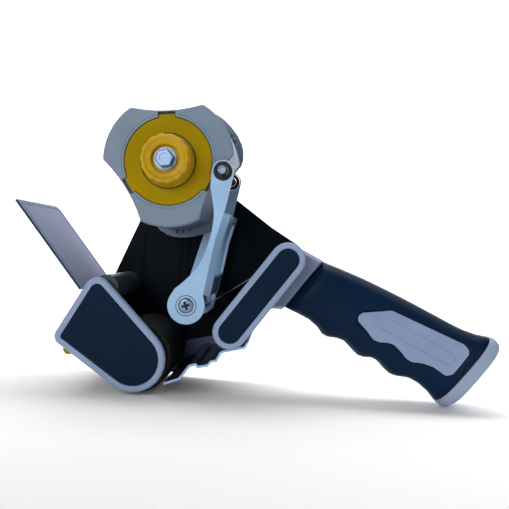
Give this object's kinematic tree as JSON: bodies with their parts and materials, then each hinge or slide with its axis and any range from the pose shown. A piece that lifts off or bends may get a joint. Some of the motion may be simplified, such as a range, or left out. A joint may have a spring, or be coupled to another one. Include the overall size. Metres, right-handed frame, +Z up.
{
  "type": "hand tape dispenser",
  "caption": "Pistol-grip packing tape dispenser with a side plate, lobed tape hub, sprung arm, roller, blade with guard and a wiper flap.",
  "frame": {"origin": "middle of the bounding box in plan, at the height of the surface it stands on", "axes": "+X from the wiper flap to the butt of the grip, +Y along the hub's axis from the knob to the side plate, +Z up"},
  "size_m": [0.2838, 0.0808, 0.1718],
  "materials": {
    "black_steel": "black powder coat, satin",
    "zinc": "blue-white zinc plating",
    "bright_steel": "nickel plated, smooth",
    "dark_steel": "blackened",
    "grey_plastic": "moulded, satin",
    "navy_plastic": "moulded, satin",
    "navy_rubber": "soft skin",
    "yellow_plastic": "moulded, satin",
    "black_plastic": "moulded, satin",
    "black_rubber": "matt rubber",
    "pale_flap": "smooth sheet",
    "brass": "turned",
    "felt": "pressed felt"
  },
  "bodies": {
    "frame": {"arm_spring": "bright_steel", "axle_nut": "bright_steel", "axle_ring": "dark_steel", "blade": "bright_steel", "blade_bracket": "black_steel", "brake_spring": "dark_steel", "butt_cap": "grey_plastic", "frame_plate": "black_steel", "frame_screw_lower": "bright_steel", "frame_screw_upper": "bright_steel", "friction_washer": "felt", "front_inner_plate": "black_steel", "front_panel_inset": "navy_plastic", "front_side_panel": "grey_plastic", "grip_far": "navy_rubber", "grip_near": "navy_rubber", "grip_screw_front": "dark_steel", "grip_screw_rear": "dark_steel", "guard_pin": "bright_steel", "guard_spring": "dark_steel", "head_block": "black_plastic", "hub_bolt": "bright_steel", "hub_nut": "bright_steel", "hub_spacer": "bright_steel", "hub_washer": "bright_steel", "inlay_far": "grey_plastic", "inlay_near": "grey_plastic", "lower_guide_plate": "zinc", "neck_collar": "grey_plastic", "pivot_screw": "bright_steel", "pivot_shaft": "dark_steel", "pressure_washer": "bright_steel", "rear_side_cover": "grey_plastic", "rear_side_inset": "navy_plastic", "roller_axle": "bright_steel", "roller_washer_far": "bright_steel", "roller_washer_near": "bright_steel", "upper_spacer_tube": "black_steel", "upper_tie_rod": "dark_steel", "wiper_clamp": "zinc", "wiper_flap": "pale_flap", "wiper_screw_far": "bright_steel", "wiper_screw_near": "bright_steel"},
    "hub": {"hub": "grey_plastic", "hub_disc": "yellow_plastic", "hub_sleeve": "brass"},
    "knob": {"tension_knob": "yellow_plastic"},
    "arm": {"arm_bracket": "zinc", "ear_bush_near": "black_plastic", "ear_bush_far": "black_plastic", "ear_stud_near": "bright_steel", "ear_stud_far": "bright_steel", "pivot_bush_near": "zinc", "pivot_bush_far": "zinc"},
    "roller": {"roller_rubber": "black_rubber", "roller_core": "grey_plastic"},
    "guard": {"blade_guard": "yellow_plastic"}
  },
  "joints": [
    {"name": "hub_spin", "type": "hinge", "parent": "frame", "child": "hub", "pos_m": [-0.05736, -0.00175, 0.1341], "axis": [0, 1, 0], "continuous": true},
    {"name": "knob_turn", "type": "hinge", "parent": "frame", "child": "knob", "pos_m": [-0.05736, -0.03275, 0.1341], "axis": [0, 1, 0], "range_deg": [-180, 180]},
    {"name": "arm_swing", "type": "hinge", "parent": "frame", "child": "arm", "pos_m": [-0.04146, -0.00175, 0.0529], "axis": [0, 1, 0], "range_deg": [0, 27], "stiffness_Nm_per_rad": 0.12, "springref_deg": -28.65, "deforming": ["arm_spring"]},
    {"name": "roller_spin", "type": "hinge", "parent": "frame", "child": "roller", "pos_m": [-0.06966, -0.00175, 0.0206], "axis": [0, 1, 0], "continuous": true},
    {"name": "guard_tilt", "type": "hinge", "parent": "frame", "child": "guard", "pos_m": [-0.10633, -0.00175, 0.03602], "axis": [0, -1, 0], "range_deg": [0, 20], "stiffness_Nm_per_rad": 0.03, "springref_deg": -28.65, "deforming": ["guard_spring"]}
  ]
}
